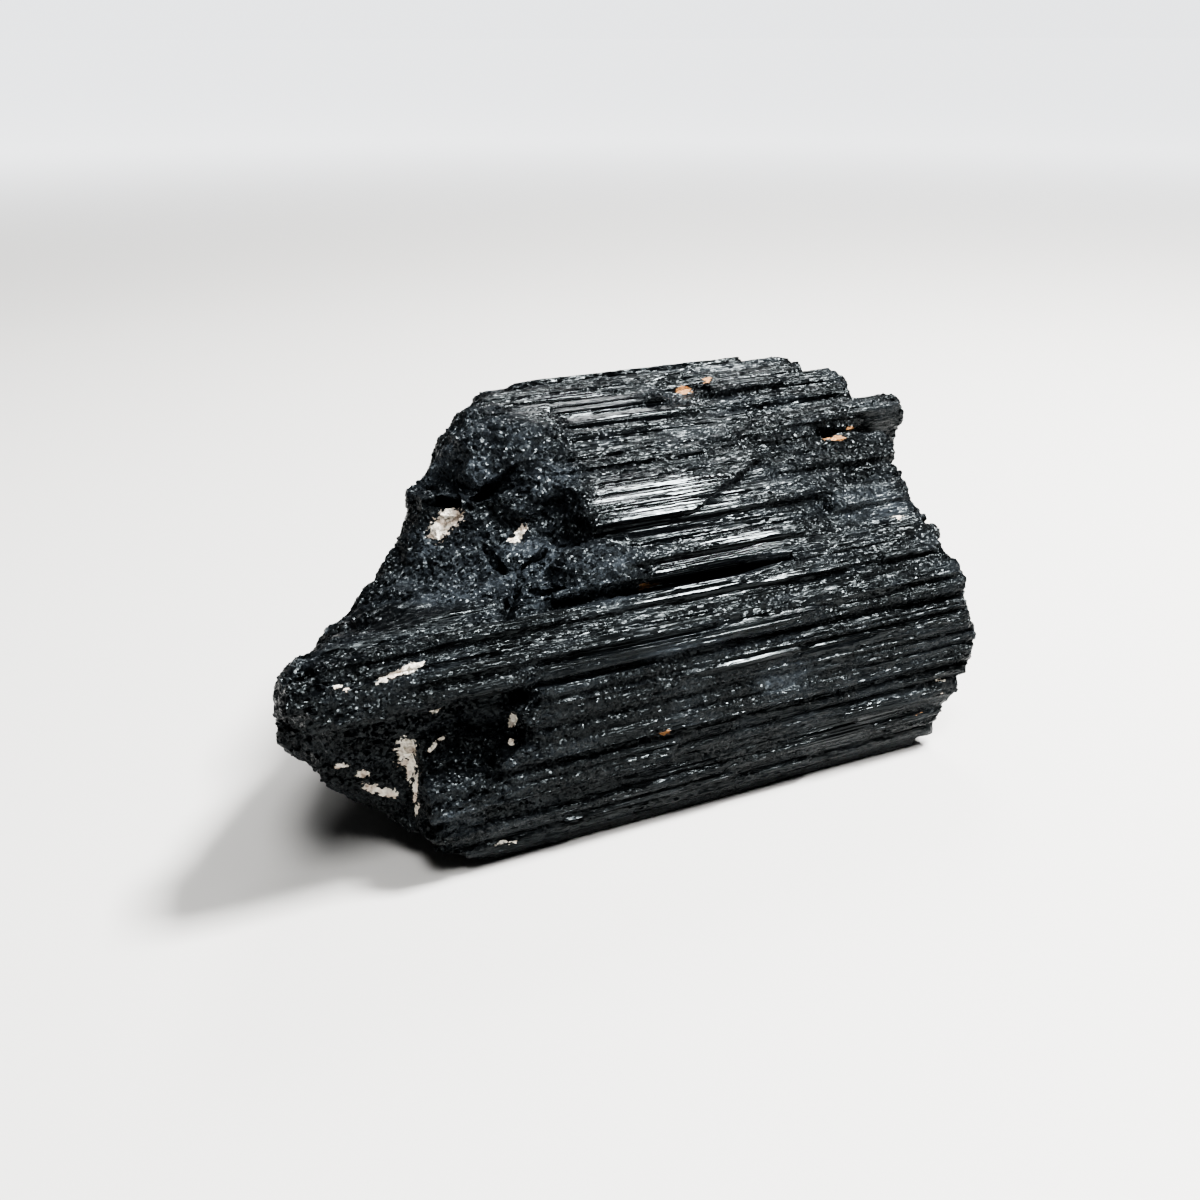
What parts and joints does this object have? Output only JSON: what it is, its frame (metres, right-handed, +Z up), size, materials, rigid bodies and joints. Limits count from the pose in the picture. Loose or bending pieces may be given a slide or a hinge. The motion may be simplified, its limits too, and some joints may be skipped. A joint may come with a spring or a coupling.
{
  "type": "raw black tourmaline",
  "caption": "Rough lump of raw black tourmaline: parallel ribbed columns grown together, with ragged broken ends, lying on its side as a natural mineral specimen.",
  "frame": {"origin": "under the middle of the stone's bounding box, on the face that it lies on", "axes": "+X along the crystals from the long broken left end to the right end, +Y from the front to the back, +Z up"},
  "size_m": [0.1128, 0.0682, 0.0571],
  "materials": {
    "tourmaline": "black, glassy on the ribbed sides and granular on the breaks, with small pale feldspar and rust-coloured patches"
  },
  "bodies": {
    "root": {"tourmaline": "tourmaline"}
  },
  "joints": []
}
